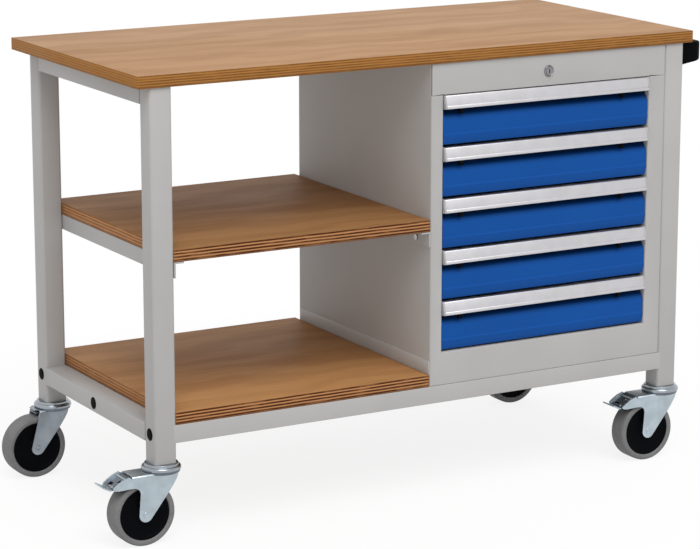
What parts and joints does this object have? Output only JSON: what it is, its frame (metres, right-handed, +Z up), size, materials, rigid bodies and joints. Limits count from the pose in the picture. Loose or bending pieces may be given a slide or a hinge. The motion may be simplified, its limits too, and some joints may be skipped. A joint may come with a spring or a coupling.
{
  "type": "workbench",
  "caption": "Mobile workshop bench with plywood worktop and shelves on a tube frame, a drawer cabinet with a lock, a push handle and braked swivel castors.",
  "frame": {"origin": "on the floor under the middle of the bounding box", "axes": "+X along the bench to the push handle, -Y to the drawer fronts, +Z up"},
  "size_m": [1.3494, 0.5963, 0.89],
  "materials": {
    "plywood": "satin lacquered beech plywood",
    "frame_paint": "light grey powder coat",
    "black_plastic": "black moulded",
    "fastener_steel": "zinc plated",
    "runner_steel": "zinc plated",
    "lock_chrome": "polished",
    "zinc": "bright zinc plated",
    "tray_paint": "light grey powder coat",
    "drawer_paint": "blue powder coat",
    "grip_metal": "satin anodised",
    "wheel_plastic": "black moulded",
    "tyre_rubber": "grey non-marking rubber"
  },
  "bodies": {
    "bench": {"worktop": "plywood", "middle_shelf": "plywood", "lower_shelf": "plywood", "left_end_frame": "frame_paint", "right_end_frame": "frame_paint", "front_beam": "frame_paint", "centre_beam": "frame_paint", "rear_beam": "frame_paint", "left_shelf_angle": "frame_paint", "right_shelf_angle": "frame_paint", "cabinet_left_panel": "frame_paint", "cabinet_right_panel": "frame_paint", "cabinet_back_panel": "frame_paint", "cabinet_header": "frame_paint", "cabinet_floor": "frame_paint", "bolt_caps": "black_plastic", "push_handle": "black_plastic", "frame_bolts": "fastener_steel", "machine_screws": "fastener_steel", "wood_screws": "fastener_steel", "cabinet_runners": "runner_steel", "lock_case": "lock_chrome", "castor_stems": "zinc"},
    "lock_cylinder": {"lock_cylinder": "lock_chrome"},
    "locking_bar": {"locking_bar": "runner_steel"},
    "drawer_1": {"drawer_1_tray": "tray_paint", "drawer_1_front": "drawer_paint", "drawer_1_grip": "grip_metal"},
    "telescopes_1": {"drawer_1_telescopes": "runner_steel"},
    "drawer_2": {"drawer_2_tray": "tray_paint", "drawer_2_front": "drawer_paint", "drawer_2_grip": "grip_metal"},
    "telescopes_2": {"drawer_2_telescopes": "runner_steel"},
    "drawer_3": {"drawer_3_tray": "tray_paint", "drawer_3_front": "drawer_paint", "drawer_3_grip": "grip_metal"},
    "telescopes_3": {"drawer_3_telescopes": "runner_steel"},
    "drawer_4": {"drawer_4_tray": "tray_paint", "drawer_4_front": "drawer_paint", "drawer_4_grip": "grip_metal"},
    "telescopes_4": {"drawer_4_telescopes": "runner_steel"},
    "drawer_5": {"drawer_5_tray": "tray_paint", "drawer_5_front": "drawer_paint", "drawer_5_grip": "grip_metal"},
    "telescopes_5": {"drawer_5_telescopes": "runner_steel"},
    "front_left_fork": {"front_left_castor_fork": "zinc"},
    "front_left_wheel": {"front_left_castor_wheel": "wheel_plastic", "front_left_castor_tyre": "tyre_rubber"},
    "front_left_pedal": {"front_left_castor_pedal": "zinc"},
    "front_right_fork": {"front_right_castor_fork": "zinc"},
    "front_right_wheel": {"front_right_castor_wheel": "wheel_plastic", "front_right_castor_tyre": "tyre_rubber"},
    "front_right_pedal": {"front_right_castor_pedal": "zinc"},
    "rear_left_fork": {"rear_left_castor_fork": "zinc"},
    "rear_left_wheel": {"rear_left_castor_wheel": "wheel_plastic", "rear_left_castor_tyre": "tyre_rubber"},
    "rear_right_fork": {"rear_right_castor_fork": "zinc"},
    "rear_right_wheel": {"rear_right_castor_wheel": "wheel_plastic", "rear_right_castor_tyre": "tyre_rubber"}
  },
  "joints": [
    {"name": "lock_turn", "type": "hinge", "parent": "bench", "child": "lock_cylinder", "pos_m": [0.29625, -0.28275, 0.833], "axis": [0, 1, 0], "range_deg": [0, 90]},
    {"name": "locking_bar_slide", "type": "slide", "parent": "bench", "child": "locking_bar", "axis": [0, 0, -1], "range_m": [0, 0.008]},
    {"name": "drawer_1_slide", "type": "slide", "parent": "bench", "child": "drawer_1", "axis": [0, -1, 0], "range_m": [0, 0.42]},
    {"name": "telescopes_1_slide", "type": "slide", "parent": "bench", "child": "telescopes_1", "axis": [0, -1, 0], "range_m": [0, 0.21]},
    {"name": "drawer_2_slide", "type": "slide", "parent": "bench", "child": "drawer_2", "axis": [0, -1, 0], "range_m": [0, 0.42]},
    {"name": "telescopes_2_slide", "type": "slide", "parent": "bench", "child": "telescopes_2", "axis": [0, -1, 0], "range_m": [0, 0.21]},
    {"name": "drawer_3_slide", "type": "slide", "parent": "bench", "child": "drawer_3", "axis": [0, -1, 0], "range_m": [0, 0.42]},
    {"name": "telescopes_3_slide", "type": "slide", "parent": "bench", "child": "telescopes_3", "axis": [0, -1, 0], "range_m": [0, 0.21]},
    {"name": "drawer_4_slide", "type": "slide", "parent": "bench", "child": "drawer_4", "axis": [0, -1, 0], "range_m": [0, 0.42]},
    {"name": "telescopes_4_slide", "type": "slide", "parent": "bench", "child": "telescopes_4", "axis": [0, -1, 0], "range_m": [0, 0.21]},
    {"name": "drawer_5_slide", "type": "slide", "parent": "bench", "child": "drawer_5", "axis": [0, -1, 0], "range_m": [0, 0.42]},
    {"name": "telescopes_5_slide", "type": "slide", "parent": "bench", "child": "telescopes_5", "axis": [0, -1, 0], "range_m": [0, 0.21]},
    {"name": "front_left_swivel", "type": "hinge", "parent": "bench", "child": "front_left_fork", "pos_m": [-0.54675, -0.26025, 0.144], "axis": [0, 0, 1], "continuous": true},
    {"name": "front_left_roll", "type": "hinge", "parent": "front_left_fork", "child": "front_left_wheel", "pos_m": [-0.59075, -0.26025, 0.0625], "axis": [0, 1, 0], "continuous": true},
    {"name": "front_left_brake", "type": "hinge", "parent": "front_left_fork", "child": "front_left_pedal", "pos_m": [-0.63075, -0.26025, 0.1305], "axis": [0, 1, 0], "range_deg": [-12, 0]},
    {"name": "front_right_swivel", "type": "hinge", "parent": "bench", "child": "front_right_fork", "pos_m": [0.59925, -0.26025, 0.144], "axis": [0, 0, 1], "continuous": true},
    {"name": "front_right_roll", "type": "hinge", "parent": "front_right_fork", "child": "front_right_wheel", "pos_m": [0.55525, -0.26025, 0.0625], "axis": [0, 1, 0], "continuous": true},
    {"name": "front_right_brake", "type": "hinge", "parent": "front_right_fork", "child": "front_right_pedal", "pos_m": [0.51525, -0.26025, 0.1305], "axis": [0, 1, 0], "range_deg": [-12, 0]},
    {"name": "rear_left_swivel", "type": "hinge", "parent": "bench", "child": "rear_left_fork", "pos_m": [-0.54675, 0.24675, 0.144], "axis": [0, 0, 1], "continuous": true},
    {"name": "rear_left_roll", "type": "hinge", "parent": "rear_left_fork", "child": "rear_left_wheel", "pos_m": [-0.59075, 0.24675, 0.0625], "axis": [0, 1, 0], "continuous": true},
    {"name": "rear_right_swivel", "type": "hinge", "parent": "bench", "child": "rear_right_fork", "pos_m": [0.59925, 0.24675, 0.144], "axis": [0, 0, 1], "continuous": true},
    {"name": "rear_right_roll", "type": "hinge", "parent": "rear_right_fork", "child": "rear_right_wheel", "pos_m": [0.55525, 0.24675, 0.0625], "axis": [0, 1, 0], "continuous": true}
  ],
  "couplings": [
    {"joint": "lock_turn", "follows": "locking_bar_slide", "rad_per_m": 196.34},
    {"joint": "telescopes_1_slide", "follows": "drawer_1_slide", "ratio": 0.5},
    {"joint": "telescopes_2_slide", "follows": "drawer_2_slide", "ratio": 0.5},
    {"joint": "telescopes_3_slide", "follows": "drawer_3_slide", "ratio": 0.5},
    {"joint": "telescopes_4_slide", "follows": "drawer_4_slide", "ratio": 0.5},
    {"joint": "telescopes_5_slide", "follows": "drawer_5_slide", "ratio": 0.5}
  ]
}
